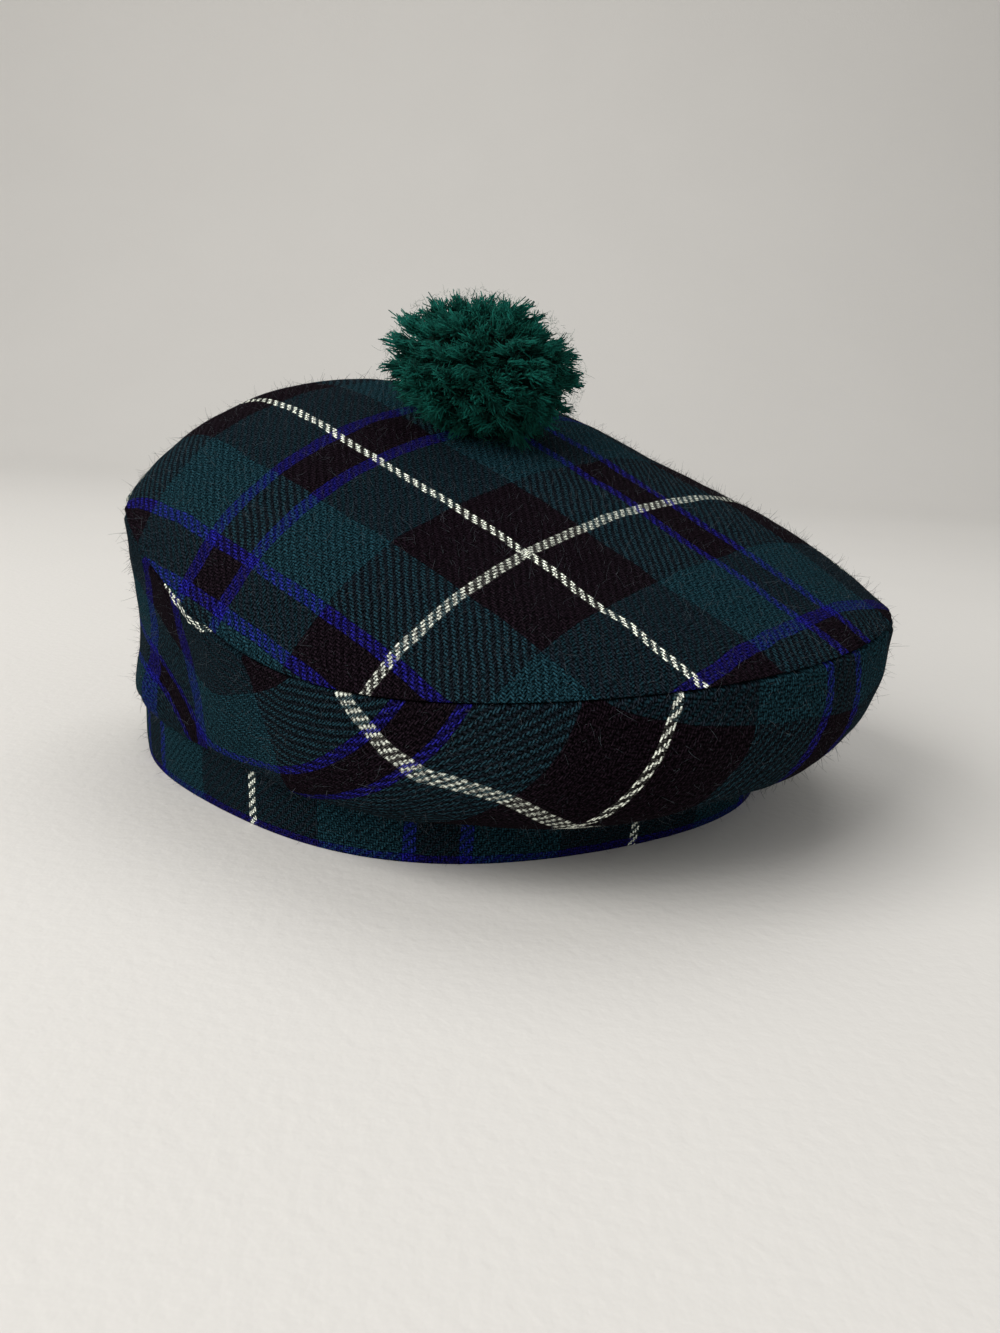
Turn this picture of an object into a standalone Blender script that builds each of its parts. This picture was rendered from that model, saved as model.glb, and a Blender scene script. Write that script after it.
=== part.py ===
"""Tam o shanter: a wide soft crown of wool cloth on a headband, with a yarn pompom.

Metres, +Z up.  The headband's lower edge lies on z = 0 and the hat's box is centred over the origin.
Bearings run anticlockwise seen from above: 0 is the wearer's left (+X), 270 is the front (-Y).
"""
from collections import namedtuple
import math
import random

import bmesh
import bpy
from mathutils import Matrix, Vector

# Headband
BAND_RADIUS = 0.0905
BAND_HEIGHT = 0.024
BAND_WALL = 0.0028
BAND_BULGE = 0.0005
BAND_EDGE = 0.0005

# Crown: a disc and a ring of one cloth, sewn together at the rim
CLOTH = 0.002
RIM_RADIUS = 0.110
RIM_HEIGHT = 0.061
RIM_SHIFT = 0.0193
CROWN_HEIGHT = 0.108
CROWN_LEAN = 0.044
LEAN_BEARING = math.radians(119)
DOME_SHARE = 0.42
EDGE_POWER = 6

# Underside: how it hangs between the rim and the headband
LAP = 0.004
BELLY = 0.004
SAG = 0.014
SAG_DROP = 0.6
BELLY_HEIGHT = 0.45
FOLD_RISE = 0.004

# Pompom
POMPOM_RADIUS = 0.0322
POMPOM_HALF_HEIGHT = 0.0230
POMPOM_LIFT = 0.0160
POMPOM_SHIFT = -0.0095
HEAD_RADIUS = 0.0235
HEAD_SPLIT_COUNT = 2
LOCK_COUNT = 96
LOCK_RADIUS = 0.0038
LOCK_SIDES = 6
LOCK_UNEVENNESS = 0.18
LOCK_SEED = 7
FUSING_GRID = 0.0024

# A lock's section along its length, as shares of its length and of LOCK_RADIUS
LockSection = namedtuple("LockSection", "place width")
LOCK_SECTIONS = (
    LockSection(place=0.00, width=0.50),
    LockSection(place=0.80, width=1.00),
    LockSection(place=0.94, width=0.85),
    LockSection(place=1.00, width=0.35),
)

# Clearance between pieces that are sewn together, and a mitred edge's extra width
GAP = 0.0003
MITRE = 1.4

# Plain colours: the tartan's average, and the yarn's bottle green
TARTAN_COLOUR = (0.02, 0.05, 0.06)
TARTAN_ROUGHNESS = 0.9
YARN_COLOUR = (0.005, 0.07, 0.04)
YARN_ROUGHNESS = 0.95

# How finely the cloth is divided
BEARINGS = 60
CROWN_RINGS = 11
RING_CROWDING = 0.8
UNDERSIDE_RINGS = 9
SEAT_RINGS = 5
PROBE = 1e-4
SHARP_ANGLE = math.radians(50)

# One row for each bearing of the hat, as shares of BAND_RADIUS, RIM_RADIUS, RIM_HEIGHT, BELLY and SAG
Section = namedtuple("Section", "bearing band rim rim_height belly sag")
SECTIONS = (
    Section(bearing=0, band=1.19, rim=1.07, rim_height=0.98, belly=0.4, sag=1.25),
    Section(bearing=45, band=0.95, rim=0.91, rim_height=0.82, belly=0.3, sag=0.90),
    Section(bearing=90, band=0.88, rim=0.86, rim_height=0.92, belly=0.3, sag=0.75),
    Section(bearing=135, band=1.00, rim=0.93, rim_height=1.04, belly=0.15, sag=0.98),
    Section(bearing=180, band=1.04, rim=1.05, rim_height=1.34, belly=-0.8, sag=0.50),
    Section(bearing=225, band=0.89, rim=0.96, rim_height=0.95, belly=-1.7, sag=0.47),
    Section(bearing=270, band=0.95, rim=1.06, rim_height=0.87, belly=0.5, sag=1.00),
    Section(bearing=315, band=1.02, rim=1.10, rim_height=0.99, belly=0.5, sag=1.20),
)

# One row for each soft fold: spread is in degrees, place and reach are shares of the way along the cloth
# (0 at the crown's centre or the rim seam, 1 at the rim seam or the headband), rise is a share of FOLD_RISE
Fold = namedtuple("Fold", "bearing spread place reach rise")
CROWN_FOLDS = (
    Fold(bearing=20, spread=24, place=0.62, reach=0.22, rise=-0.50),
    Fold(bearing=78, spread=18, place=0.70, reach=0.20, rise=0.45),
    Fold(bearing=150, spread=22, place=0.66, reach=0.20, rise=0.50),
    Fold(bearing=205, spread=16, place=0.70, reach=0.18, rise=-0.45),
    Fold(bearing=300, spread=26, place=0.66, reach=0.22, rise=-0.35),
)
UNDERSIDE_FOLDS = (
    Fold(bearing=24, spread=10, place=0.55, reach=0.28, rise=0.55),
    Fold(bearing=52, spread=9, place=0.60, reach=0.26, rise=-0.60),
    Fold(bearing=84, spread=10, place=0.50, reach=0.28, rise=0.55),
    Fold(bearing=112, spread=9, place=0.55, reach=0.26, rise=-0.50),
    Fold(bearing=146, spread=11, place=0.55, reach=0.28, rise=0.50),
    Fold(bearing=186, spread=9, place=0.36, reach=0.18, rise=-0.65),
    Fold(bearing=205, spread=8, place=0.52, reach=0.28, rise=0.70),
    Fold(bearing=236, spread=12, place=0.55, reach=0.24, rise=-0.40),
    Fold(bearing=292, spread=12, place=0.62, reach=0.22, rise=0.35),
    Fold(bearing=346, spread=9, place=0.66, reach=0.20, rise=-0.55),
)


def around(column, bearing):
    """A column of SECTIONS at any bearing, on the smoothest wave through its evenly spaced rows."""
    count = len(SECTIONS)
    total = 0.0
    for row in SECTIONS:
        away = bearing - math.radians(row.bearing)
        slope = math.tan(away / 2)
        weight = 1.0 if abs(slope) < 1e-9 else math.sin(count * away / 2) / (count * slope)
        total += weight * getattr(row, column)
    return total


def fold_rise(folds, bearing, place):
    """How far the soft folds lift the cloth at a bearing and a place along it."""
    total = 0.0
    for fold in folds:
        away = math.remainder(bearing - math.radians(fold.bearing), math.tau) / math.radians(fold.spread)
        along = (place - fold.place) / fold.reach
        total += fold.rise * math.exp(-away * away - along * along)
    return FOLD_RISE * total


def outward(bearing):
    return Vector((math.cos(bearing), math.sin(bearing), 0))


def up(height):
    return Vector((0, 0, height))


def band_reach(bearing):
    return BAND_RADIUS * around("band", bearing)


def rim_reach(bearing):
    return RIM_RADIUS * around("rim", bearing)


def rim_height(bearing):
    return RIM_HEIGHT * around("rim_height", bearing)


def rim_point(bearing):
    return Vector((RIM_SHIFT, 0, rim_height(bearing))) + outward(bearing) * rim_reach(bearing)


def crown_point(bearing, place):
    """The crown's outer face: a dome that leans up towards the back and turns down at the rim."""
    lean = CROWN_LEAN * math.cos(bearing - LEAN_BEARING)
    turn = DOME_SHARE * place**2 + (1 - DOME_SHARE) * place**EDGE_POWER
    edge = CROWN_HEIGHT + lean
    height = CROWN_HEIGHT + lean * place - (edge - rim_height(bearing)) * turn
    height += fold_rise(CROWN_FOLDS, bearing, place) * (1 - place**EDGE_POWER)
    return Vector((RIM_SHIFT, 0, height)) + outward(bearing) * rim_reach(bearing) * place


def underside_point(bearing, place):
    """The underside's outer face: it hangs from the rim, sags past the band's top and turns in to it."""
    out = outward(bearing)
    sag = SAG * around("sag", bearing)
    rim = rim_point(bearing)
    join = out * (band_reach(bearing) + BAND_BULGE + GAP) + up(BAND_HEIGHT - LAP)
    belly = rim + out * BELLY * around("belly", bearing)
    belly.z = rim.z * BELLY_HEIGHT
    low = join + out * sag - up(sag * SAG_DROP)
    rest = 1 - place
    point = rim * rest**3 + belly * (3 * rest**2 * place) + low * (3 * rest * place**2) + join * place**3
    return point + out * fold_rise(UNDERSIDE_FOLDS, bearing, place) * (4 * place * rest)


def face_normal(surface, bearing, place):
    """The normal of a surface where bearing and place grow to its left and away from its start."""
    along = surface(bearing, min(place + PROBE, 1)) - surface(bearing, max(place - PROBE, 0))
    across = surface(bearing + PROBE, place) - surface(bearing - PROBE, place)
    return along.cross(across).normalized()


def bearings():
    return [math.tau * step / BEARINGS for step in range(BEARINGS)]


def ring(points_at):
    return [points_at(bearing) for bearing in bearings()]


def crown_rings():
    """Outer and inner rings of the crown from near its centre to the rim, where the edge is level."""
    outer = []
    inner = []
    for step in range(1, CROWN_RINGS + 1):
        place = (step / CROWN_RINGS) ** RING_CROWDING
        outer.append(ring(lambda t: crown_point(t, place)))
        inner.append(ring(lambda t: crown_point(t, place) - face_normal(crown_point, t, place) * CLOTH))
    outer[-1] = ring(lambda t: rim_point(t) + up(GAP / 2))
    inner[-1] = ring(lambda t: rim_point(t) + up(GAP / 2) - outward(t) * CLOTH * MITRE)
    return outer, inner


def underside_rings():
    """Outer and inner rings of the underside, from the rim's level edge to its upright edge at the band."""
    outer = []
    inner = []
    for step in range(UNDERSIDE_RINGS + 1):
        place = step / UNDERSIDE_RINGS
        outer.append(ring(lambda t: underside_point(t, place)))
        inner.append(ring(lambda t: underside_point(t, place) - face_normal(underside_point, t, place) * CLOTH))
    outer[0] = ring(lambda t: rim_point(t) - up(GAP / 2))
    inner[0] = ring(lambda t: rim_point(t) - up(GAP / 2) - outward(t) * CLOTH * MITRE)
    inner[-1] = ring(lambda t: underside_point(t, 1) + up(CLOTH * MITRE))
    return outer, inner


def band_rings():
    """The headband's section, once round from its flat lower edge: outer face, top edge, inner face."""
    section = (
        (-BAND_EDGE, 0),
        (0, BAND_EDGE),
        (BAND_BULGE, BAND_HEIGHT / 2),
        (0, BAND_HEIGHT - BAND_EDGE),
        (-BAND_EDGE, BAND_HEIGHT),
        (BAND_EDGE - BAND_WALL, BAND_HEIGHT),
        (-BAND_WALL, BAND_HEIGHT - BAND_EDGE),
        (BAND_BULGE - BAND_WALL, BAND_HEIGHT / 2),
        (-BAND_WALL, BAND_EDGE),
        (BAND_EDGE - BAND_WALL, 0),
    )
    rings = []
    for offset, height in section:
        rings.append(ring(lambda t: outward(t) * (band_reach(t) + offset) + up(height)))
    return rings


def add_ring(mesh, points):
    return [mesh.verts.new(point) for point in points]


def join_rings(mesh, first, second):
    """Faces between two rings of vertices, facing right of the way from the first to the second."""
    for step, start in enumerate(first):
        after = (step + 1) % len(first)
        mesh.faces.new((start, second[step], second[after], first[after]))


def join_all(mesh, rings):
    for first, second in zip(rings, rings[1:]):
        join_rings(mesh, first, second)


def close_to_point(mesh, loop, point):
    """A fan from one ring of vertices to a point."""
    centre = mesh.verts.new(point)
    for step, start in enumerate(loop):
        mesh.faces.new((start, loop[(step + 1) % len(loop)], centre))


def finished(name, mesh, material):
    """An object of its own from a bmesh, with its faces turned outwards and shaded smooth."""
    bmesh.ops.recalc_face_normals(mesh, faces=mesh.faces)
    data = bpy.data.meshes.new(name)
    mesh.to_mesh(data)
    mesh.free()
    data.shade_smooth()
    data.set_sharp_from_angle(angle=SHARP_ANGLE)
    data.materials.append(material)
    part = bpy.data.objects.new(name, data)
    bpy.context.scene.collection.objects.link(part)
    return part


def make_crown_top(material):
    mesh = bmesh.new()
    outer, inner = crown_rings()
    outer = [add_ring(mesh, points) for points in outer]
    inner = [add_ring(mesh, points) for points in inner]
    join_all(mesh, outer + inner[::-1])
    centre = Vector((RIM_SHIFT, 0, CROWN_HEIGHT))
    close_to_point(mesh, outer[0], centre)
    close_to_point(mesh, inner[0], centre - up(CLOTH))
    return finished("crown_top", mesh, material)


def make_crown_underside(material):
    mesh = bmesh.new()
    outer, inner = underside_rings()
    loops = [add_ring(mesh, points) for points in outer + inner[::-1]]
    join_all(mesh, loops + loops[:1])
    return finished("crown_underside", mesh, material)


def make_headband(material):
    mesh = bmesh.new()
    loops = [add_ring(mesh, points) for points in band_rings()]
    join_all(mesh, loops + loops[:1])
    return finished("headband", mesh, material)


def crown_surface(x, y):
    """The point of the crown's outer face over a place given from the crown's centre."""
    bearing = math.atan2(y, x)
    return crown_point(bearing, math.hypot(x, y) / rim_reach(bearing))


def pompom_frame():
    """The pompom's centre, standing off the crown along the crown's own slope there."""
    seat = crown_surface(POMPOM_SHIFT, 0)
    along = crown_surface(POMPOM_SHIFT + CLOTH, 0) - crown_surface(POMPOM_SHIFT - CLOTH, 0)
    across = crown_surface(POMPOM_SHIFT, CLOTH) - crown_surface(POMPOM_SHIFT, -CLOTH)
    axis = along.cross(across).normalized()
    turn = up(1).rotation_difference(axis)
    return Matrix.Translation(seat + axis * POMPOM_LIFT) @ turn.to_matrix().to_4x4()


def lock_directions():
    """Evenly scattered directions over a ball, in a sunflower's order."""
    golden = math.pi * (3 - math.sqrt(5))
    for index in range(LOCK_COUNT):
        height = 1 - 2 * (index + 0.5) / LOCK_COUNT
        yield outward(golden * index) * math.sqrt(1 - height**2) + up(height)


def add_lock(mesh, direction, length):
    """One lock of yarn: a tuft from the pompom's heart, widest near its blunt tip."""
    turn = up(1).rotation_difference(direction).to_matrix()
    loops = []
    for section in LOCK_SECTIONS:
        loop = []
        for side in range(LOCK_SIDES):
            corner = outward(math.tau * side / LOCK_SIDES) * LOCK_RADIUS * section.width
            loop.append(mesh.verts.new(turn @ (corner + up(length * section.place))))
        loops.append(loop)
    join_all(mesh, loops)
    mesh.faces.new(loops[0])
    mesh.faces.new(loops[-1][::-1])


def make_pompom(material):
    """Locks of yarn fused to a round head, set down on the crown."""
    scatter = random.Random(LOCK_SEED)
    mesh = bmesh.new()
    squash = POMPOM_HALF_HEIGHT / POMPOM_RADIUS
    head = bmesh.ops.create_icosphere(mesh, subdivisions=HEAD_SPLIT_COUNT, radius=HEAD_RADIUS)
    for vert in head["verts"]:
        vert.co.z *= squash
    for direction in lock_directions():
        uneven = 1 - LOCK_UNEVENNESS * scatter.random()
        tip = Vector((direction.x, direction.y, direction.z * squash)) * POMPOM_RADIUS * uneven
        add_lock(mesh, tip.normalized(), tip.length)
    pompom = finished("pompom", mesh, material)
    pompom.matrix_world = pompom_frame()
    fuse = pompom.modifiers.new("fuse", "REMESH")
    fuse.mode = "VOXEL"
    fuse.voxel_size = FUSING_GRID
    seat = pompom.modifiers.new("seat", "BOOLEAN")
    seat.operation = "DIFFERENCE"
    seat.solver = "EXACT"
    seat.object = make_seat_cutter()
    return pompom


def make_seat_cutter():
    """A hidden block whose top is the crown's own face, one gap higher."""
    mesh = bmesh.new()
    top, _ = crown_rings()
    top = [[point + up(GAP) for point in loop] for loop in top[:SEAT_RINGS]]
    base = CROWN_HEIGHT - POMPOM_RADIUS * 2
    loops = [add_ring(mesh, points) for points in top]
    floor = add_ring(mesh, [Vector((point.x, point.y, base)) for point in top[-1]])
    join_all(mesh, loops + [floor])
    close_to_point(mesh, loops[0], Vector((RIM_SHIFT, 0, CROWN_HEIGHT + GAP)))
    mesh.faces.new(floor)
    cutter = finished("pompom_seat_cutter", mesh, bpy.data.materials["wool_tartan"])
    cutter.hide_render = True
    cutter.display_type = "WIRE"
    return cutter


def make_material(name, colour, roughness):
    material = bpy.data.materials.new(name)
    material.use_nodes = True
    shader = material.node_tree.nodes["Principled BSDF"]
    shader.inputs["Base Color"].default_value = (*colour, 1)
    shader.inputs["Roughness"].default_value = roughness
    shader.inputs["Metallic"].default_value = 0
    return material


def centre_over_origin(parts):
    """Stand the hat's box over the origin, with everything under one empty."""
    corners = [vert.co for part in parts for vert in part.data.vertices]
    middle_x = (min(corner.x for corner in corners) + max(corner.x for corner in corners)) / 2
    middle_y = (min(corner.y for corner in corners) + max(corner.y for corner in corners)) / 2
    hat = bpy.data.objects.new("hat", None)
    hat.location = (-middle_x, -middle_y, 0)
    bpy.context.scene.collection.objects.link(hat)
    return hat


def main():
    for old in list(bpy.data.objects):
        bpy.data.objects.remove(old)
    tartan = make_material("wool_tartan", TARTAN_COLOUR, TARTAN_ROUGHNESS)
    yarn = make_material("green_yarn", YARN_COLOUR, YARN_ROUGHNESS)
    cloth = [make_crown_top(tartan), make_crown_underside(tartan), make_headband(tartan.copy())]
    pompom = make_pompom(yarn)
    hat = centre_over_origin(cloth)
    for part in [*cloth, pompom, bpy.data.objects["pompom_seat_cutter"]]:
        part.parent = hat


main()
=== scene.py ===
"""The looks of the tam o shanter: tartan wool twill, seams, fuzz and a pompom of cut yarn.

Metres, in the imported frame.  The hat's own shape is worked out about the headband's middle, as in the model's
source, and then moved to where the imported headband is.
"""

from collections import namedtuple
import math

import bmesh
import bpy
import numpy as np
from mathutils import Matrix, Vector, noise


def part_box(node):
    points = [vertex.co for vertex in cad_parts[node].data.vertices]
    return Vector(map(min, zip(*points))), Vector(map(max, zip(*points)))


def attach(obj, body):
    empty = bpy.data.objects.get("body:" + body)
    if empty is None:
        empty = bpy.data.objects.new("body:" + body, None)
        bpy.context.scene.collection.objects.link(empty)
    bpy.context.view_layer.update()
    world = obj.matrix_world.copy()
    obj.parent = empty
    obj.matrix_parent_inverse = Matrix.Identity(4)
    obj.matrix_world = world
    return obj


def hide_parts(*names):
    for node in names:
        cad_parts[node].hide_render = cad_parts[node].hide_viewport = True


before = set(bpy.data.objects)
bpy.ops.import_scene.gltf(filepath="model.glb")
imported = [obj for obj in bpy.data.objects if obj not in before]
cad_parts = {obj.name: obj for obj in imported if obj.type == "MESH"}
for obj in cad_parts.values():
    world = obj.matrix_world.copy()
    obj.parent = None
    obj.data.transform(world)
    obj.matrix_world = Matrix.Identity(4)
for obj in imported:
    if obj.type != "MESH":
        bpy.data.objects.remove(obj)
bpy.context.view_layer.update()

# Sizes of the hat, as in the model's source
BAND_RADIUS = 0.0905
BAND_HEIGHT = 0.024
BAND_WALL = 0.0028
BAND_BULGE = 0.0005
BAND_ROUNDING = 0.35
CLOTH = 0.002
RIM_RADIUS = 0.110
RIM_HEIGHT = 0.061
RIM_SHIFT = 0.0193
CROWN_HEIGHT = 0.108
CROWN_LEAN = 0.044
LEAN_BEARING = math.radians(119)
DOME_SHARE = 0.42
EDGE_POWER = 6
LAP = 0.004
BELLY = 0.004
SAG = 0.014
SAG_DROP = 0.6
BELLY_HEIGHT = 0.45
FOLD_RISE = 0.004
POMPOM_RADIUS = 0.0322
POMPOM_HALF_HEIGHT = 0.0230
POMPOM_LIFT = 0.0160
POMPOM_SHIFT = -0.0095
GAP = 0.0003

# The tartan: half a repeat of the checks in metres, and how many threads it has
HALF_SETT = 0.0626
THREADS = 80

TINY = 1e-9

# How finely the cloth is divided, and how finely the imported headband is
BEARINGS = 300
CROWN_ROWS = 84
UNDERSIDE_ROWS = 70
ROLL_ROWS = 5
BAND_ROWS = 48
PACKED_BEARINGS = 60

# One row for each bearing of the hat, as shares of BAND_RADIUS, RIM_RADIUS, RIM_HEIGHT, BELLY and SAG
Section = namedtuple("Section", "bearing band rim rim_height belly sag")
SECTIONS = (
    Section(bearing=0, band=1.19, rim=1.07, rim_height=0.98, belly=0.4, sag=1.25),
    Section(bearing=45, band=0.95, rim=0.91, rim_height=0.82, belly=0.3, sag=0.90),
    Section(bearing=90, band=0.88, rim=0.86, rim_height=0.92, belly=0.3, sag=0.75),
    Section(bearing=135, band=1.00, rim=0.93, rim_height=1.04, belly=0.15, sag=0.98),
    Section(bearing=180, band=1.04, rim=1.05, rim_height=1.34, belly=-0.8, sag=0.50),
    Section(bearing=225, band=0.89, rim=0.96, rim_height=0.95, belly=-1.7, sag=0.47),
    Section(bearing=270, band=0.95, rim=1.06, rim_height=0.87, belly=0.5, sag=1.00),
    Section(bearing=315, band=1.02, rim=1.10, rim_height=0.99, belly=0.5, sag=1.20),
)

# One row for each soft fold: spread is in degrees, place and reach are shares of the way along the cloth, and
# rise is a share of FOLD_RISE
Fold = namedtuple("Fold", "bearing spread place reach rise")
CROWN_FOLDS = (
    Fold(bearing=20, spread=24, place=0.62, reach=0.22, rise=-0.50),
    Fold(bearing=78, spread=18, place=0.70, reach=0.20, rise=0.45),
    Fold(bearing=150, spread=22, place=0.66, reach=0.20, rise=0.50),
    Fold(bearing=205, spread=16, place=0.70, reach=0.18, rise=-0.45),
    Fold(bearing=300, spread=26, place=0.66, reach=0.22, rise=-0.35),
)
UNDERSIDE_FOLDS = (
    Fold(bearing=24, spread=10, place=0.55, reach=0.28, rise=0.55),
    Fold(bearing=52, spread=9, place=0.60, reach=0.26, rise=-0.60),
    Fold(bearing=84, spread=10, place=0.50, reach=0.28, rise=0.55),
    Fold(bearing=112, spread=9, place=0.55, reach=0.26, rise=-0.50),
    Fold(bearing=146, spread=11, place=0.55, reach=0.28, rise=0.50),
    Fold(bearing=186, spread=9, place=0.36, reach=0.18, rise=-0.65),
    Fold(bearing=205, spread=8, place=0.52, reach=0.28, rise=0.70),
    Fold(bearing=236, spread=12, place=0.55, reach=0.24, rise=-0.40),
    Fold(bearing=292, spread=12, place=0.62, reach=0.22, rise=0.35),
    Fold(bearing=346, spread=9, place=0.66, reach=0.20, rise=-0.55),
)


# The hat's shape.  Bearings and places are arrays, so that a whole grid is worked out at once.

def around(column, bearing):
    """A column of SECTIONS at any bearing, on the smoothest wave through its evenly spaced rows."""
    count = len(SECTIONS)
    total = 0.0
    for row in SECTIONS:
        away = bearing - math.radians(row.bearing)
        slope = np.tan(away / 2)
        level = np.abs(slope) < TINY
        wave = np.sin(count * away / 2) / (count * np.where(level, 1, slope))
        total = total + np.where(level, 1.0, wave) * getattr(row, column)
    return total


def fold_rise(folds, bearing, place):
    total = 0.0
    for fold in folds:
        away = (bearing - math.radians(fold.bearing) + math.pi) % math.tau - math.pi
        along = (place - fold.place) / fold.reach
        total = total + fold.rise * np.exp(-(away / math.radians(fold.spread)) ** 2 - along**2)
    return FOLD_RISE * total


def points(x, y, z):
    return np.stack(np.broadcast_arrays(x, y, z), -1)


def outward(bearing):
    return points(np.cos(bearing), np.sin(bearing), 0.0)


def band_reach(bearing):
    return BAND_RADIUS * around("band", bearing)


def rim_point(bearing):
    reach = RIM_RADIUS * around("rim", bearing)
    height = RIM_HEIGHT * around("rim_height", bearing)
    return points(RIM_SHIFT + reach * np.cos(bearing), reach * np.sin(bearing), height)


def crown_point(bearing, place):
    """The crown's outer face: a dome that leans up towards the back and turns down at the rim."""
    lean = CROWN_LEAN * np.cos(bearing - LEAN_BEARING)
    turn = DOME_SHARE * place**2 + (1 - DOME_SHARE) * place**EDGE_POWER
    edge = CROWN_HEIGHT + lean
    rim = rim_point(bearing)
    height = CROWN_HEIGHT + lean * place - (edge - rim[..., 2]) * turn
    height = height + fold_rise(CROWN_FOLDS, bearing, place) * (1 - place**EDGE_POWER)
    return points(RIM_SHIFT + (rim[..., 0] - RIM_SHIFT) * place, rim[..., 1] * place, height)


def underside_point(bearing, place):
    """The underside's outer face: it hangs from the rim, sags past the band's top and turns in to it."""
    out = outward(bearing)
    up = np.array((0, 0, 1))
    sag = (SAG * around("sag", bearing))[..., None]
    place = np.asarray(place)[..., None]
    rest = 1 - place
    rim = rim_point(bearing)
    join = out * (band_reach(bearing) + BAND_BULGE + GAP)[..., None] + up * (BAND_HEIGHT - LAP)
    belly = rim + out * BELLY * around("belly", bearing)[..., None]
    belly[..., 2] = rim[..., 2] * BELLY_HEIGHT
    low = join + out * sag - up * sag * SAG_DROP
    point = rim * rest**3 + belly * (3 * rest**2 * place) + low * (3 * rest * place**2) + join * place**3
    lift = fold_rise(UNDERSIDE_FOLDS, bearing, place[..., 0])
    return point + out * (lift * (4 * place * rest)[..., 0])[..., None]


def band_point(bearing, around_section):
    """The headband's face, once round its section: 0 at the lower edge, up the outside, down the inside."""
    angle = around_section * math.tau
    half = BAND_WALL / 2
    across = -np.sign(np.sin(angle - math.pi)) * np.abs(np.sin(angle)) ** BAND_ROUNDING
    height = BAND_HEIGHT / 2 * (1 - np.sign(np.cos(angle)) * np.abs(np.cos(angle)) ** BAND_ROUNDING)
    bulge = BAND_BULGE * np.sin(math.pi * height / BAND_HEIGHT)
    reach = band_reach(bearing) - half + across * half + bulge
    return points(reach * np.cos(bearing), reach * np.sin(bearing), height)


# Where a point of the cloth lies in the tartan, in half repeats

def affine(u, v, spin, stretch, shear, shift):
    """Pattern axes turned, stretched and sheared a little, as handled cloth is."""
    x = u * math.cos(spin) + v * math.sin(spin)
    y = v * math.cos(spin) - u * math.sin(spin)
    matrix = np.array(((1 + stretch, shear), (shear, 1 - stretch)))
    solved = np.linalg.solve(matrix, np.stack((x.ravel(), y.ravel())) / HALF_SETT)
    return solved[0].reshape(x.shape) - shift[0], solved[1].reshape(x.shape) - shift[1]


CROWN_SPIN = math.pi / 4 + 0.0475
CROWN_STRETCH = -0.0804
CROWN_SHEAR = 0.0275
CROWN_SHIFT = (0.138, 0.1766)


def lengths_along(grid):
    """Distance along the cloth from the grid's first row to each of its rows."""
    steps = np.linalg.norm(np.diff(grid, axis=0), axis=-1)
    return np.concatenate((np.zeros((1, grid.shape[1])), np.cumsum(steps, 0)))


def crown_pattern(grid, bearing):
    length = lengths_along(grid)
    return affine(length * np.cos(bearing), length * np.sin(bearing), CROWN_SPIN, CROWN_STRETCH,
                  CROWN_SHEAR, CROWN_SHIFT)


UNDERSIDE_FLAT_RADIUS = 0.118
UNDERSIDE_SPIN = 0.491
UNDERSIDE_STRETCH = -0.182
UNDERSIDE_SHEAR = 0.021
UNDERSIDE_SHIFT = (0.738, -0.088)

# Where the underside's cloth is pulled out of true: how far along each set of lines, in half repeats, over a
# spread in degrees, and the depth below the rim at which the pull is whole (0 where it starts at the rim)
Pull = namedtuple("Pull", "bearing spread along across depth")
PULLS = (
    Pull(bearing=206, spread=12, along=0.10, across=0.00, depth=0.000),
    Pull(bearing=224, spread=7, along=-0.10, across=0.00, depth=0.000),
    Pull(bearing=274, spread=9, along=0.00, across=0.07, depth=0.000),
    Pull(bearing=306, spread=22, along=0.00, across=-0.18, depth=0.045),
    Pull(bearing=340, spread=26, along=0.00, across=-0.35, depth=0.000),
)

# A tuck at the wearer's right takes up cloth: how much more of it there is than shows
TUCK_BEARING = 208
TUCK_SPREAD = 20
TUCK_SHARE = 0.564
PULL_LIMIT = 1.1


def nearness(bearing, middle, spread):
    """1 at a bearing given in degrees, dying away to both sides of it."""
    away = (bearing - math.radians(middle) + math.pi) % math.tau - math.pi
    return np.exp(-(away / math.radians(spread)) ** 2)


def underside_pattern(grid, bearing):
    """The underside is cut like the crown and turned over, so its checks mirror the crown's at the rim."""
    length = lengths_along(grid)
    reach = UNDERSIDE_FLAT_RADIUS - length * (1 + TUCK_SHARE * nearness(bearing, TUCK_BEARING, TUCK_SPREAD))
    u, v = affine(reach * np.cos(bearing), reach * np.sin(bearing), UNDERSIDE_SPIN, UNDERSIDE_STRETCH,
                  UNDERSIDE_SHEAR, UNDERSIDE_SHIFT)
    for pull in PULLS:
        amount = nearness(bearing, pull.bearing, pull.spread)
        if pull.depth:
            amount = amount * np.clip(length / pull.depth, 0, PULL_LIMIT) ** 2
        u = u + pull.along * amount
        v = v + pull.across * amount
    return u, v


BAND_HALF_SETT = 0.056
BAND_PIVOT = math.radians(275.5)
BAND_EDGE_LINE = 0.115
BAND_JOINT = math.radians(90)


def band_pattern(grid, bearing):
    """The band is cut along the checks: distance round it, and height up it from its blue edge line."""
    reach = band_reach(bearing[0])
    edge = points(reach * np.cos(bearing[0]), reach * np.sin(bearing[0]), 0.0)
    along = np.concatenate(([0], np.cumsum(np.linalg.norm(np.diff(edge, axis=0), axis=1))))
    along = along - np.interp(BAND_PIVOT, bearing[0], along)
    across = np.broadcast_to(along / BAND_HALF_SETT, bearing.shape)
    return across, BAND_EDGE_LINE + grid[..., 2] / BAND_HALF_SETT


# Meshes of cloth

def columns(start=0.0):
    """Bearings round the hat, with the first one again at the end."""
    return start + np.linspace(0, math.tau, BEARINGS + 1)


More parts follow.
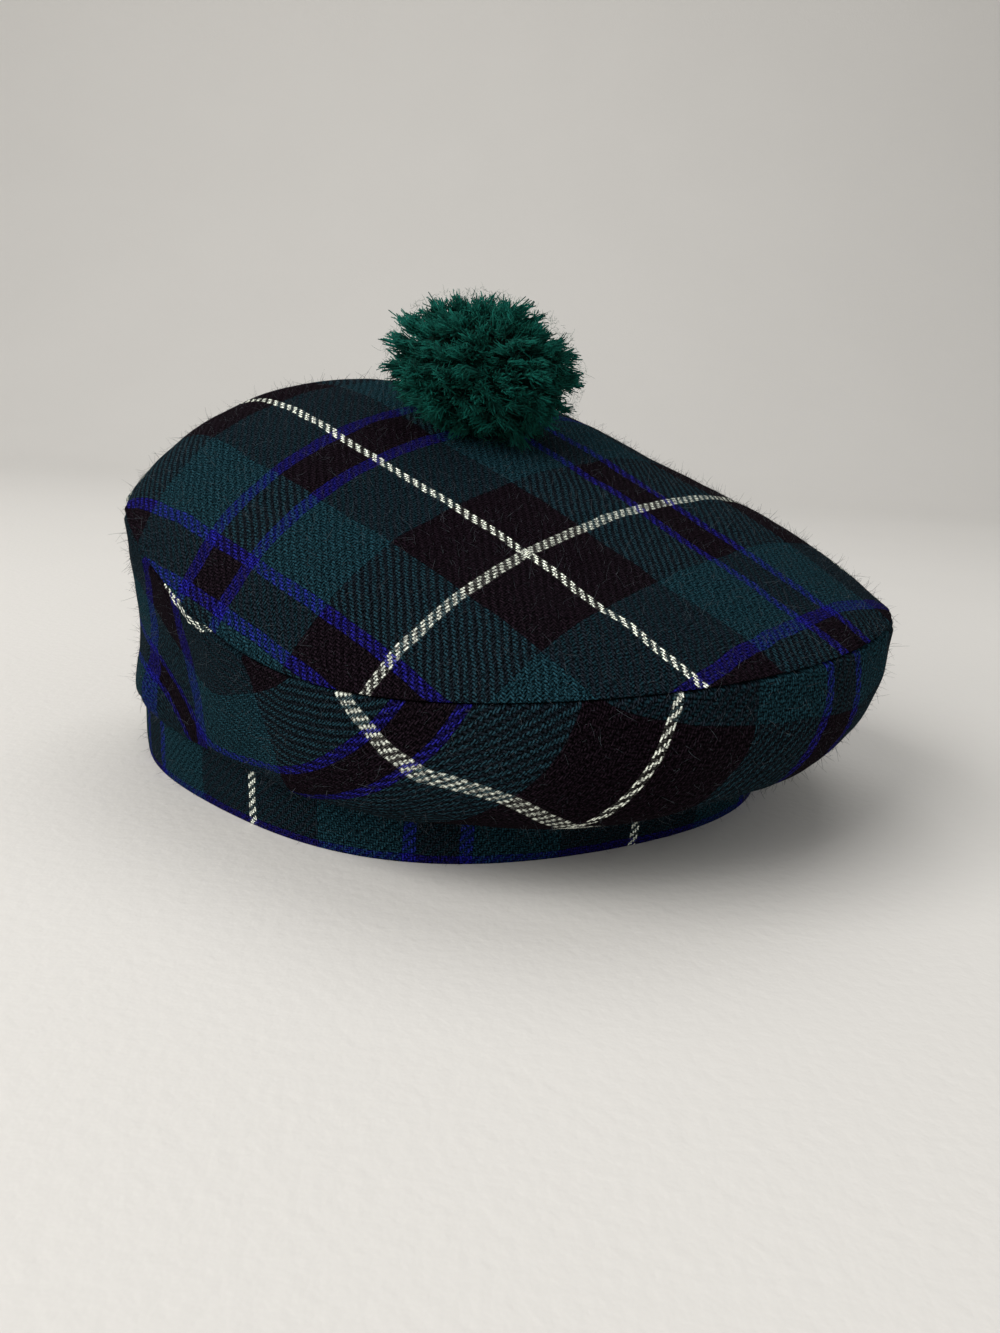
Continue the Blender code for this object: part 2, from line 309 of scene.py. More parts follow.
def grid_normals(grid):
    """Unit normals of a grid whose rows run out from its start and whose columns run anticlockwise."""
    along = np.gradient(grid, axis=0)
    across = np.roll(grid[:, :-1], -1, 1) - np.roll(grid[:, :-1], 1, 1)
    across = np.concatenate((across, across[:, :1]), 1)
    normal = np.cross(along, across)
    return normal / np.linalg.norm(normal, axis=-1, keepdims=True)


# Loose waves of the cloth: the size of one wave, where in the noise it is taken, and its share of WAVE_LIFT
Wave = namedtuple("Wave", "size seed share")
WAVE_LIFT = 0.00065
CROWN_WAVES = (Wave(size=0.021, seed=3.0, share=1.0), Wave(size=0.009, seed=9.0, share=0.5))
UNDERSIDE_WAVES = (Wave(size=0.024, seed=5.0, share=1.6), Wave(size=0.009, seed=12.0, share=0.6))


def waves(grid, table):
    """Smooth noise over a grid of points, the same in its first and last column."""
    total = 0.0
    for wave in table:
        flat = (grid[:, :-1] / wave.size + wave.seed).reshape(-1, 3)
        values = np.array([noise.noise(Vector(point)) for point in flat]).reshape(grid.shape[0], -1)
        total = total + wave.share * np.concatenate((values, values[:, :1]), 1)
    return WAVE_LIFT * total


def ridden(name, mesh, material):
    """A smooth piece of the hat that rides with it, from a mesh in the hat's own place."""
    mesh.shade_smooth()
    mesh.materials.append(material)
    piece = bpy.data.objects.new(name, mesh)
    bpy.context.scene.collection.objects.link(piece)
    piece.location = hat_shift
    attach(piece, "root")
    return piece


def cloth_object(name, grid, pattern, material, loop_rows):
    """One closed mesh from rows of points: joined end to start, or closed by a point at each end."""
    rows, count = grid.shape[0], grid.shape[1] - 1
    verts = grid[:, :-1].reshape(-1, 3).tolist()
    pairs = rows if loop_rows else rows - 1
    faces = []
    corners = []
    for row in range(pairs):
        after = (row + 1) % rows
        for column in range(count):
            side = (column + 1) % count
            faces.append((row * count + column, after * count + column,
                          after * count + side, row * count + side))
            corners += [(row, column), (after, column), (after, column + 1), (row, column + 1)]
    if not loop_rows:
        for row, turned in ((0, False), (rows - 1, True)):
            centre = len(verts)
            verts.append(grid[row, :-1].mean(0).tolist())
            for column in range(count):
                fan = [row * count + column, row * count + (column + 1) % count, centre]
                uv = [(row, column), (row, column + 1), (row, column)]
                faces.append(tuple(fan[::-1] if turned else fan))
                corners += uv[::-1] if turned else uv
    mesh = bpy.data.meshes.new(name)
    mesh.from_pydata(verts, [], faces)
    rows_at, columns_at = np.array(corners).T
    layer = mesh.uv_layers.new(name="pattern")
    layer.data.foreach_set("uv", np.stack((pattern[0], pattern[1]), -1)[rows_at, columns_at].ravel())
    return ridden(name, mesh, material)


# Rolled edges at the rim seam: how far they turn in, which share of the cloth turns, where the crown's rows
# start, and how much wider a mitred edge is than the cloth
EDGE_ROLL = 0.0010
CROWN_ROLL = 0.008
CROWN_START = 0.012
UNDERSIDE_ROLL = 0.016
MITRE = 1.3

# Where the loose waves die out, as shares of the way along the cloth
CROWN_FADE = 0.06
UNDERSIDE_RIM_FADE = 0.08
UNDERSIDE_BAND_FADE = 0.15

# Gathers beside the rim seam: how many go round the hat, and how unevenly they come
Gather = namedtuple("Gather", "count drift drift_count share")
GATHERS = (
    Gather(count=83, drift=2.1, drift_count=5, share=1.0),
    Gather(count=131, drift=1.7, drift_count=7, share=0.6),
)
PUCKER = 0.00035
PUCKER_REACH = 0.006
PUCKER_START = 0.0012


def seam_rows(count, roll, start=0.0):
    """Shares of the way to a seam, packed closely where the cloth's edge rolls under."""
    far = np.linspace(start, 1 - roll, count)
    near = 1 - roll * np.cos(np.linspace(0, math.pi / 2, ROLL_ROWS + 1)[1:])
    return np.concatenate((far, near))


def rolled(place, roll):
    """How far a rolled edge has turned in, from 0 where the roll starts to 1 at the seam."""
    share = np.clip((place - (1 - roll)) / roll, 0, 1)
    return 1 - np.sqrt(np.clip(1 - share**2, 0, 1))


def seam_puckers(bearing, from_seam):
    """Small gathers beside the rim seam, dying out a centimetre away."""
    ripple = 0.0
    for row in GATHERS:
        drift = row.drift * np.sin(bearing * row.drift_count)
        ripple = ripple + row.share * np.sin(bearing * row.count + drift)
    fade = np.exp(-(from_seam / PUCKER_REACH) ** 2) * np.clip(from_seam / PUCKER_START, 0, 1)
    return PUCKER * ripple * fade


def crown_grid():
    """The crown's outer face and its checks, then the same back along the inner face."""
    place = seam_rows(CROWN_ROWS, CROWN_ROLL, CROWN_START)[:, None]
    bearing = np.broadcast_to(columns(), (len(place), BEARINGS + 1))
    grid = crown_point(bearing, np.broadcast_to(place, bearing.shape))
    pattern = crown_pattern(grid, bearing)
    length = lengths_along(grid)
    normal = -grid_normals(grid)
    normal *= np.sign(normal[..., 2:3] + TINY)
    fade = np.clip((1 - place) / CROWN_FADE, 0, 1)
    lift = waves(grid, CROWN_WAVES) * fade
    lift = lift + seam_puckers(bearing, length[-1] - length)
    grid = grid + normal * lift[..., None]
    grid = grid - outward(bearing) * (EDGE_ROLL * rolled(place, CROWN_ROLL))[..., None]
    grid[..., 2] += GAP / 2
    inner = grid - normal * CLOTH
    edge = slice(-ROLL_ROWS - 1, None)
    inner[edge] = grid[edge] - outward(bearing[edge]) * CLOTH * MITRE
    inner = inner[:-1]
    return np.concatenate((grid, inner[::-1])), [np.concatenate((p, p[:-1][::-1])) for p in pattern]


def make_crown(material):
    """The crown's cloth, in place of its solid; gives its outer face."""
    grid, pattern = crown_grid()
    piece = cloth_object("crown_top_cloth", grid, pattern, material, False)
    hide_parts("crown_top")
    return grid[:CROWN_ROWS + ROLL_ROWS]


def underside_grid():
    """The underside's outer face and its checks, then the same back along the inner face."""
    place = 1 - seam_rows(UNDERSIDE_ROWS, UNDERSIDE_ROLL)[::-1][:, None]
    bearing = np.broadcast_to(columns(), (len(place), BEARINGS + 1))
    grid = underside_point(bearing, np.broadcast_to(place, bearing.shape))
    pattern = underside_pattern(grid, bearing)
    length = lengths_along(grid)
    normal = grid_normals(grid)
    normal *= np.sign((normal[:1] * outward(bearing[:1])).sum(-1, keepdims=True))
    fade = np.clip(place / UNDERSIDE_RIM_FADE, 0, 1) * np.clip((1 - place) / UNDERSIDE_BAND_FADE, 0, 1)
    lift = waves(grid, UNDERSIDE_WAVES) * fade
    lift = lift + seam_puckers(bearing, length)
    grid = grid + normal * lift[..., None]
    grid = grid - outward(bearing) * (EDGE_ROLL * rolled(1 - place, UNDERSIDE_ROLL))[..., None]
    grid[..., 2] -= GAP / 2 * (place < 0.5)
    inner = grid - normal * CLOTH
    edge = slice(ROLL_ROWS + 1)
    inner[edge] = grid[edge] - outward(bearing[edge]) * CLOTH * MITRE
    inner[-1] = grid[-1] + np.array((0, 0, CLOTH * MITRE))
    return np.concatenate((grid, inner[::-1])), [np.concatenate((p, p[::-1])) for p in pattern]


def make_underside(material):
    """The underside's cloth, in place of its solid; gives its outer face."""
    grid, pattern = underside_grid()
    piece = cloth_object("crown_underside_cloth", grid, pattern, material, True)
    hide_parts("crown_underside")
    return grid[:UNDERSIDE_ROWS + ROLL_ROWS]


def make_headband(material):
    """The headband's cloth, in place of its solid; gives its outer face."""
    section = (np.linspace(0, 1, BAND_ROWS + 1)[:-1, None] + 0.5 / BAND_ROWS) % 1
    bearing = np.broadcast_to(columns(BAND_JOINT), (len(section), BEARINGS + 1))
    grid = band_point(bearing, np.broadcast_to(section, bearing.shape))
    pattern = band_pattern(grid, bearing)
    piece = cloth_object("headband_cloth", grid, pattern, material, True)
    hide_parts("headband")
    return grid[:BAND_ROWS // 2]


# Materials

class Nodes:
    """Short names for the nodes of one material."""

    def __init__(self, name):
        self.material = bpy.data.materials.new(name)
        self.material.use_nodes = True
        self.tree = self.material.node_tree
        self.shader = self.tree.nodes["Principled BSDF"]

    def put(self, node, socket, value):
        if isinstance(value, bpy.types.NodeSocket):
            self.tree.links.new(value, node.inputs[socket])
        else:
            node.inputs[socket].default_value = value

    def math(self, operation, first, second=0.0, third=0.0):
        node = self.tree.nodes.new("ShaderNodeMath")
        node.operation = operation
        for socket, value in enumerate((first, second, third)):
            self.put(node, socket, value)
        return node.outputs[0]

    def vector(self, operation, first, second):
        node = self.tree.nodes.new("ShaderNodeVectorMath")
        node.operation = operation
        self.put(node, 0, first)
        self.put(node, 3 if operation == "SCALE" else 1, second)
        return node.outputs[0]

    def noise(self, coordinates, scale, detail=2.0, colour=False):
        node = self.tree.nodes.new("ShaderNodeTexNoise")
        self.put(node, "Vector", coordinates)
        self.put(node, "Scale", scale)
        self.put(node, "Detail", detail)
        return node.outputs["Color" if colour else "Fac"]

    def mix(self, factor, first, second, blend="MIX"):
        node = self.tree.nodes.new("ShaderNodeMix")
        node.data_type = "RGBA"
        node.blend_type = blend
        self.put(node, 0, factor)
        self.put(node, 6, first)
        self.put(node, 7, second)
        return node.outputs[2]

    def ramp(self, value, steps, constant=True):
        node = self.tree.nodes.new("ShaderNodeValToRGB")
        node.color_ramp.interpolation = "CONSTANT" if constant else "EASE"
        stops = node.color_ramp.elements
        stops.remove(stops[1])
        stops[0].position = steps[0][0]
        for position, _ in steps[1:]:
            stops.new(position)
        for stop, (_, colour) in zip(stops, steps):
            stop.color = (*colour, 1)
        self.put(node, 0, value)
        return node.outputs[0]

    def bump(self, height, distance):
        node = self.tree.nodes.new("ShaderNodeBump")
        self.put(node, "Height", height)
        self.put(node, "Distance", distance)
        return node.outputs[0]

    def coordinates(self, name):
        return self.tree.nodes.new("ShaderNodeTexCoord").outputs[name]

    def surface(self, colour, normal, roughness, sheen):
        self.put(self.shader, "Base Color", colour)
        self.put(self.shader, "Normal", normal)
        self.shader.inputs["Roughness"].default_value = roughness
        self.shader.inputs["Sheen Weight"].default_value = sheen
        self.shader.inputs["Sheen Roughness"].default_value = SHEEN_ROUGHNESS
        self.shader.inputs["Specular IOR Level"].default_value = SPECULAR
        return self.material


SHEEN_ROUGHNESS = 0.6
SPECULAR = 0.01
WOOL_ROUGHNESS = 0.95
YARN_SHEEN = 0.02

# The wool's dyes, and the sett: each stripe's start as a share of half a repeat
BLACK = (0.0070, 0.0042, 0.0066)
BLUE = (0.009, 0.009, 0.150)
GREEN = (0.0074, 0.0275, 0.038)
WHITE = (0.60, 0.63, 0.56)
SETT = ((0.0, BLACK), (0.098, BLUE), (0.165, GREEN), (0.59, BLACK), (0.971, WHITE))

# How far threads wander, in threads: each by itself, and whole groups together
WOBBLE = 0.42
WOBBLE_SCALE = 0.9
DRIFT = 2.2
DRIFT_SCALE = 0.06

# Heather: the flecks of lighter and darker wool in every thread, and the pale nap over worn places
HEATHER_SCALE = 1.3
HEATHER = ((0.38, (0.16, 0.15, 0.16)), (0.62, (2.00, 2.00, 1.96)))
NAP_SCALE = 28.0
NAP_PLACES = ((0.3, (0, 0, 0)), (0.8, (1, 1, 1)))
NAP_SHARE = 0.012
NAP_COLOUR = (0.10, 0.12, 0.13, 1)

# The 2/2 twill: threads in its repeat, and how clearly the upper thread covers the lower one
TWILL = 4.0
COVER = 0.22
WHITE_COVER = 0.23
# Painted light and shade on the threads: warp floats lighter and weft floats darker along the twill's ribs, and
# each thread darker towards its edges by CREST_SHADE
PAINTED_RIB_LIGHT = 0.50
CREST_SHADE = 0.22
GRAIN_SCALE = 3.2
GRAIN = 1.1
THREAD_RELIEF = 0.00045


def tartan(name, lean):
    """Thread by thread: a 2/2 twill of warp and weft, both dyed in the same mirrored sett of colours.

    lean is 1 or -1 for which way the twill's ribs run.
    """
    n = Nodes(name)
    uv = n.tree.nodes.new("ShaderNodeUVMap")
    uv.uv_map = "pattern"
    threads = n.vector("SCALE", uv.outputs[0], float(THREADS))
    wobble = n.vector("SUBTRACT", n.noise(threads, WOBBLE_SCALE, detail=3.0, colour=True), (0.5, 0.5, 0.5))
    drift = n.vector("SUBTRACT", n.noise(threads, DRIFT_SCALE, detail=1.0, colour=True), (0.5, 0.5, 0.5))
    worn = n.vector("ADD", threads, n.vector("SCALE", wobble, WOBBLE))
    worn = n.vector("ADD", worn, n.vector("SCALE", drift, DRIFT))
    split = n.tree.nodes.new("ShaderNodeSeparateXYZ")
    n.put(split, 0, worn)
    index = []
    colours = []
    rounds = []
    whites = []
    for axis in (0, 1):
        at = split.outputs[axis]
        whole = n.math("FLOOR", at)
        centre = n.math("DIVIDE", n.math("ADD", whole, 0.5), float(THREADS))
        in_sett = n.math("PINGPONG", centre, 1.0)
        colours.append(n.ramp(in_sett, SETT))
        whites.append(n.math("GREATER_THAN", in_sett, SETT[-1][0]))
        across = n.math("SUBTRACT", n.math("MULTIPLY", n.math("FRACT", at), 2.0), 1.0)
        rounds.append(n.math("SUBTRACT", 1.0, n.math("MULTIPLY", across, across)))
        index.append(whole)
    step = n.math("FLOORED_MODULO", n.math("MULTIPLY_ADD", index[1], float(lean), index[0]), TWILL)
    warp_up = n.math("LESS_THAN", step, (TWILL - 1) / 2)
    crisp = n.math("MULTIPLY_ADD", n.math("MAXIMUM", whites[0], whites[1]), WHITE_COVER, COVER)
    cover = n.math("MULTIPLY_ADD", n.math("MULTIPLY_ADD", warp_up, 2.0, -1.0), crisp, 0.5)
    colour = n.mix(cover, colours[1], colours[0])
    heather = n.ramp(n.noise(threads, HEATHER_SCALE, detail=3.0), HEATHER, constant=False)
    flecked = n.mix(1.0, colour, heather, "MULTIPLY")
    nap = n.ramp(n.noise(n.coordinates("Object"), NAP_SCALE), NAP_PLACES, constant=False)
    napped = n.mix(n.math("MULTIPLY", nap, NAP_SHARE), flecked, NAP_COLOUR)
    crest = n.math("ADD", n.math("MULTIPLY", warp_up, rounds[0]),
                   n.math("MULTIPLY", n.math("SUBTRACT", 1.0, warp_up), rounds[1]))
    height = n.math("MULTIPLY_ADD", n.noise(threads, GRAIN_SCALE, detail=4.0), GRAIN, crest)
    # Painted light and shade: warp floats lighter and weft floats darker along the ribs, each thread darker
    # towards its edges
    painted_rib_light = n.math("MULTIPLY_ADD", warp_up, PAINTED_RIB_LIGHT, 1 - PAINTED_RIB_LIGHT / 2)
    shade = n.math("MULTIPLY", n.math("ADD", crest, CREST_SHADE), painted_rib_light)
    return n.surface(n.vector("SCALE", napped, shade), n.bump(height, THREAD_RELIEF), WOOL_ROUGHNESS, 0.0)


# Each yarn: its colour in the dark and in the light clumps, and how many clumps there are to a metre
Yarn = namedtuple("Yarn", "name dark light scale")
LOOSE_FIBRES = Yarn("loose_fibres", dark=(0.009, 0.012, 0.018), light=(0.10, 0.115, 0.13), scale=700.0)
POMPOM_GREEN = Yarn("pompom_green", dark=(0.0012, 0.030, 0.023), light=(0.009, 0.135, 0.104), scale=300.0)
# The heart's yarn is darker than the locks' yarn: painted shade deep between the locks
POMPOM_SHADED_HEART = Yarn("pompom_heart_painted_shade", dark=(0.0003, 0.006, 0.0045), light=(0.0008, 0.016, 0.011), scale=500.0)
POMPOM_FIBRE = Yarn("pompom_fibres", dark=(0.002, 0.045, 0.030), light=(0.008, 0.12, 0.075), scale=900.0)
YARN_DARK_UNDER = 0.28
YARN_LIGHT_OVER = 0.75
TWIST_SCALE = 1500.0
TWIST_RELIEF = 0.0006


def yarn_material(yarn):
    n = Nodes(yarn.name)
    place = n.coordinates("Object")
    clumps = n.noise(place, yarn.scale, detail=3.0)
    colour = n.ramp(clumps, ((YARN_DARK_UNDER, yarn.dark), (YARN_LIGHT_OVER, yarn.light)), constant=False)
    twist = n.noise(place, TWIST_SCALE, detail=4.0)
    return n.surface(colour, n.bump(twist, TWIST_RELIEF), WOOL_ROUGHNESS, YARN_SHEEN)


FLOOR_MOTTLE_SCALE = 6.0
FLOOR_MOTTLE = ((0.3, (0.630, 0.615, 0.590)), (0.7, (0.638, 0.623, 0.598)))
FLOOR_GRAIN_SCALE = 300.0
FLOOR_RELIEF = 0.0002
FLOOR_ROUGHNESS = 0.8


def floor_material():
    n = Nodes("pale_floor")
    place = n.coordinates("Object")
    colour = n.ramp(n.noise(place, FLOOR_MOTTLE_SCALE, detail=3.0), FLOOR_MOTTLE, constant=False)
    grain = n.noise(place, FLOOR_GRAIN_SCALE)
    return n.surface(colour, n.bump(grain, FLOOR_RELIEF), FLOOR_ROUGHNESS, 0.0)


# Fibres and yarn: thin closed tubes joined into one mesh, worked out all at once

TUBE_SIDES = 3
SIDEWAYS = 0.1


def unit(vectors):
    return vectors / np.linalg.norm(vectors, axis=-1, keepdims=True)


def tubes(name, paths, radii, material):
    """A mesh of tubes from their paths (tube, step, xyz) and their radii (tube, step)."""
    count, steps = paths.shape[:2]
    along = unit(paths[:, -1] - paths[:, 0])
    side = unit(np.cross(along, along[:, [1, 2, 0]] + SIDEWAYS))
    other = np.cross(along, side)
    angle = math.tau * np.arange(TUBE_SIDES)[:, None] / TUBE_SIDES
    rings = side[:, None] * np.cos(angle) + other[:, None] * np.sin(angle)
    verts = paths[:, :, None] + rings[:, None] * radii[:, :, None, None]
    index = np.arange(count * steps * TUBE_SIDES).reshape(count, steps, TUBE_SIDES)
    after = np.roll(index, -1, 2)
    walls = np.stack((index[:, :-1], after[:, :-1], after[:, 1:], index[:, 1:]), -1).reshape(-1, 4)
    ends = np.concatenate((index[:, 0, ::-1], index[:, -1]))
    mesh = bpy.data.meshes.new(name)
    mesh.from_pydata(verts.reshape(-1, 3).tolist(), [], walls.tolist() + ends.tolist())
    return ridden(name, mesh, material)


FIBRE_STEPS = np.linspace(0, 1, 4)
FIBRE_RADIUS = 0.00004
FIBRE_UNEVENNESS = (0.7, 1.3)
FIBRE_THINNING = 0.6
FIBRE_TAPER = 1 - FIBRE_THINNING * FIBRE_STEPS**2
FIBRE_SLANTS = (0.1, 0.8)
FIBRE_SHORTNESS = 2.5
FIBRE_CURL = 0.35
FIBRE_FOOT = 0.0002
FIBRE_FLOOR = 0.0002
FIBRE_SCATTER = 0.001

# Shortest and longest fibres
CLOTH_FUZZ = (0.0008, 0.0060)
CROWN_FIBRES = 8500
UNDERSIDE_FIBRES = 5000
BAND_FIBRES = 1200
POMPOM_FUZZ = (0.0010, 0.0034)


def fibres(scatter, roots, normals, shortest, longest):
    """Paths and radii of loose fibres: each leaves the surface at a slant and curls over."""
    count = len(roots)
    lean = unit(np.cross(scatter.normal(size=(count, 3)), normals))
    curl = unit(scatter.normal(size=(count, 3)))
    slant = scatter.uniform(*FIBRE_SLANTS, (count, 1))
    length = shortest + (longest - shortest) * scatter.random((count, 1)) ** FIBRE_SHORTNESS
    step = FIBRE_STEPS[:, None]
    run = (lean * (1 - slant) + normals * slant) * length
    bend = curl * length * FIBRE_CURL
    paths = (roots - normals * FIBRE_FOOT)[:, None] + run[:, None] * step + bend[:, None] * step**2
    return paths, FIBRE_RADIUS * FIBRE_TAPER * scatter.uniform(*FIBRE_UNEVENNESS, (count, 1))


def make_fuzz(name, grid, count, seed, material):
    """Loose fibres over the outer face of a piece of cloth, evenly by area."""
    scatter = np.random.default_rng(seed)
    normal = grid_normals(grid)[1:-1, :-1].reshape(-1, 3)
    cells = grid[1:-1, :-1]
    across = np.linalg.norm(grid[1:-1, 1:] - cells, axis=-1)
    down = np.linalg.norm(grid[2:, :-1] - cells, axis=-1)
    share = (across * down).ravel()
    picked = scatter.choice(share.size, count, p=share / share.sum())
    roots = cells.reshape(-1, 3)[picked]
    normals = normal[picked]
    inwards = (normals * (roots - roots.mean(0))).sum(-1, keepdims=True) < 0
    normals = np.where(inwards, -normals, normals)
    slide = scatter.uniform(-FIBRE_SCATTER, FIBRE_SCATTER, (count, 3))
    roots = roots + slide - normals * (slide * normals).sum(-1, keepdims=True)
    paths, radii = fibres(scatter, roots, normals, *CLOTH_FUZZ)
    paths[..., 2] = np.maximum(paths[..., 2], FIBRE_FLOOR)
    tubes(name, paths, radii, material)


# Pompom

def crown_surface(x, y):
    bearing = np.array(math.atan2(y, x))
    reach = RIM_RADIUS * float(around("rim", bearing))
    return Vector(crown_point(bearing, np.array(math.hypot(x, y) / reach)))


def pompom_frame():
    """The pompom's centre, standing off the crown along the crown's own slope there."""
    seat = crown_surface(POMPOM_SHIFT, 0)
    along = crown_surface(POMPOM_SHIFT + CLOTH, 0) - crown_surface(POMPOM_SHIFT - CLOTH, 0)
    across = crown_surface(POMPOM_SHIFT, CLOTH) - crown_surface(POMPOM_SHIFT, -CLOTH)
    axis = along.cross(across).normalized()
    turn = Vector((0, 0, 1)).rotation_difference(axis)
    return Matrix.Translation(seat + axis * POMPOM_LIFT) @ turn.to_matrix().to_4x4()


# Locks of yarn: where they start and end, as shares of POMPOM_RADIUS, and how they curl, splay and round off
LOCKS = 330
LOCK_SEED = 11
LOCK_STEPS = np.linspace(0, 1, 5)
LOCK_START = 0.58
LOCK_REACH = (0.89, 0.96)
LOCK_WIDTH = 0.0009
LOCK_SPLAY = 0.0024
LOCK_CURL = 0.0016
LOCK_ROUNDING = 400.0
SHAKE = 1.0

# The strands of one lock
LOCK_STRANDS = 34
STRAND_RADIUS = 0.0002
STRAND_TAPER = np.array((0.9, 1.0, 1.05, 1.0, 0.8))
STRAND_UNEVENNESS = (0.7, 1.35)
STRAND_SHORTFALL = 0.04
STRAND_WAVE = 0.00085

# Clumps of locks, in directions from the pompom's middle, and the heart between them
CLUMPS = 62
CLUMP_PULL = 0.15
CLUMP_REACH = 0.26
CLUMP_DROP = 0.07
CORE_SHARE = 0.62
CORE_SPLITS = 5
CORE_ROUGHNESS = 0.0016
CROWN_CLEARANCE = 0.0006


def set_down(spots, turn):
    """Places in a round pompom, squashed, set on the crown and kept just above its cloth."""
    squash = np.array((1, 1, POMPOM_HALF_HEIGHT / POMPOM_RADIUS))
    matrix = np.array(turn)
    placed = (spots * squash) @ matrix[:3, :3].T + matrix[:3, 3]
    x = placed[..., 0] - RIM_SHIFT
    y = placed[..., 1]
    bearing = np.arctan2(y, x)
    crown = crown_point(bearing, np.hypot(x, y) / (RIM_RADIUS * around("rim", bearing)))
    placed[..., 2] = np.maximum(placed[..., 2], crown[..., 2] + CROWN_CLEARANCE)
    return placed


def scattered(scatter, count):
    """Evenly scattered directions over a ball in a sunflower's order, then shaken."""
    place = np.arange(count)
    height = 1 - 2 * (place + 0.5) / count
    level = np.sqrt(1 - height**2)
    angle = math.pi * (3 - math.sqrt(5)) * place
    even = np.stack((level * np.cos(angle), level * np.sin(angle), height), -1)
    return unit(even + scatter.normal(0, SHAKE / math.sqrt(count), (count, 3)))


def clumped(scatter):
    """Headings of the locks, drawn together into clumps, and how far each stands from its clump's middle."""
    heading = scattered(scatter, LOCKS)
    middles = scattered(scatter, CLUMPS)
    nearest = middles[(heading @ middles.T).argmax(1)]
    away = np.linalg.norm(heading - nearest, axis=1, keepdims=True)
    return unit(heading + (nearest - heading) * CLUMP_PULL), away


def make_pompom(material):
    """Cut yarn: each lock is a brush of fine strands that curls, splays and ends at its own height."""
    scatter = np.random.default_rng(LOCK_SEED)
    heading, away = clumped(scatter)
    reach = POMPOM_RADIUS * scatter.uniform(*LOCK_REACH, (LOCKS, 1))
    reach = reach * (1 - CLUMP_DROP * (away / CLUMP_REACH) ** 2)
    curl = scatter.normal(0, LOCK_CURL, (LOCKS, 3))
    crimp = scatter.normal(0, LOCK_CURL / 2, (LOCKS, 3))
    step = LOCK_STEPS[:, None]
    share = LOCK_START + (1 - LOCK_START) * step
    middle = heading[:, None] * reach[:, None] * share
    middle = middle + curl[:, None] * step**2 + crimp[:, None] * np.sin(math.tau * step)
    spread = unit(scatter.normal(size=(LOCKS, LOCK_STRANDS, 1, 3)))
    spread = spread * scatter.random((LOCKS, LOCK_STRANDS, 1, 1)) ** 0.5
    offset = spread * (LOCK_WIDTH + LOCK_SPLAY * step**2)
    wave = scatter.normal(0, STRAND_WAVE, (LOCKS, LOCK_STRANDS, len(LOCK_STEPS), 3)) * step
    droop = LOCK_ROUNDING * (offset**2).sum(-1, keepdims=True)
    length = 1 - scatter.uniform(0, STRAND_SHORTFALL, (LOCKS, LOCK_STRANDS, 1, 1))
    strands = middle[:, None] * length + offset + wave - heading[:, None, None] * droop
    strands = set_down(strands.reshape(-1, len(LOCK_STEPS), 3), pompom_frame())
    radii = STRAND_RADIUS * STRAND_TAPER * scatter.uniform(*STRAND_UNEVENNESS, (len(strands), 1))
    half = len(strands) // 2
    tubes("pompom_yarn_low", strands[half:], radii[half:], material)
    high = tubes("pompom_yarn_high", strands[:half], radii[:half], material)
    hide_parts("pompom")


def make_pompom_core(material):
    """The dense heart of the pompom, in yarn darker than the locks': painted shade, seen as dark green between
    the locks.
    """
    core = bmesh.new()
    bmesh.ops.create_icosphere(core, subdivisions=CORE_SPLITS, radius=POMPOM_RADIUS * CORE_SHARE)
    bumps = np.array([noise.noise(vert.co / CORE_ROUGHNESS) for vert in core.verts])[:, None]
    spots = np.array([vert.co for vert in core.verts]) * (1 + CORE_ROUGHNESS / POMPOM_RADIUS * bumps)
    for vert, spot in zip(core.verts, set_down(spots, pompom_frame())):
        vert.co = spot
    mesh = bpy.data.meshes.new("pompom_core")
    core.to_mesh(mesh)
    core.free()
    ridden("pompom_core", mesh, material)


POMPOM_FIBRES = 3000
POMPOM_FIBRE_SEED = 5
POMPOM_FIBRE_ROOTS = (0.85, 0.98)


def make_pompom_fuzz(material):
    """Fine fibres that blur the pompom's outline."""
    scatter = np.random.default_rng(POMPOM_FIBRE_SEED)
    turn = pompom_frame()
    heading = unit(scatter.normal(size=(POMPOM_FIBRES, 3)))
    spots = heading * POMPOM_RADIUS * scatter.uniform(*POMPOM_FIBRE_ROOTS, (POMPOM_FIBRES, 1))
    normals = heading @ np.array(turn)[:3, :3].T
    paths, radii = fibres(scatter, set_down(spots, turn), normals, *POMPOM_FUZZ)
    tubes("pompom_fuzz", paths, radii, material)


# Camera, floor and light

CAMERA_SPOT = Vector((0.0218, -0.3346, 0.1201))
CAMERA_FALL = 0.2605
CAMERA_ROLL = 0.0533
FOCAL_PIXELS = 1050.0
PHOTO_HEIGHT = 1333.0
SENSOR = 36.0
NEAREST_SEEN = 0.01


def make_camera():
    """The photograph's view: a near camera, looking a little down and slightly rolled."""
    right = Vector((1, 0, 0))
    back = Vector((0, -math.cos(CAMERA_FALL), math.sin(CAMERA_FALL)))
    up = back.cross(right)
    side = right * math.cos(CAMERA_ROLL) + up * math.sin(CAMERA_ROLL)
    top = up * math.cos(CAMERA_ROLL) - right * math.sin(CAMERA_ROLL)
    turn = Matrix((side, top, back)).transposed().to_4x4()
    data = bpy.data.cameras.new("camera")
    data.sensor_width = SENSOR
    data.lens = FOCAL_PIXELS * SENSOR / PHOTO_HEIGHT
    data.clip_start = NEAREST_SEEN
    camera = bpy.data.objects.new("camera", data)
    camera.matrix_world = Matrix.Translation(CAMERA_SPOT + hat_shift) @ turn
    bpy.context.scene.collection.objects.link(camera)
    bpy.context.scene.camera = camera


FLOOR_HALF = 3.0
SWEEP_START = 0.9
SWEEP_RADIUS = 0.8
SWEEP_STEPS = 16


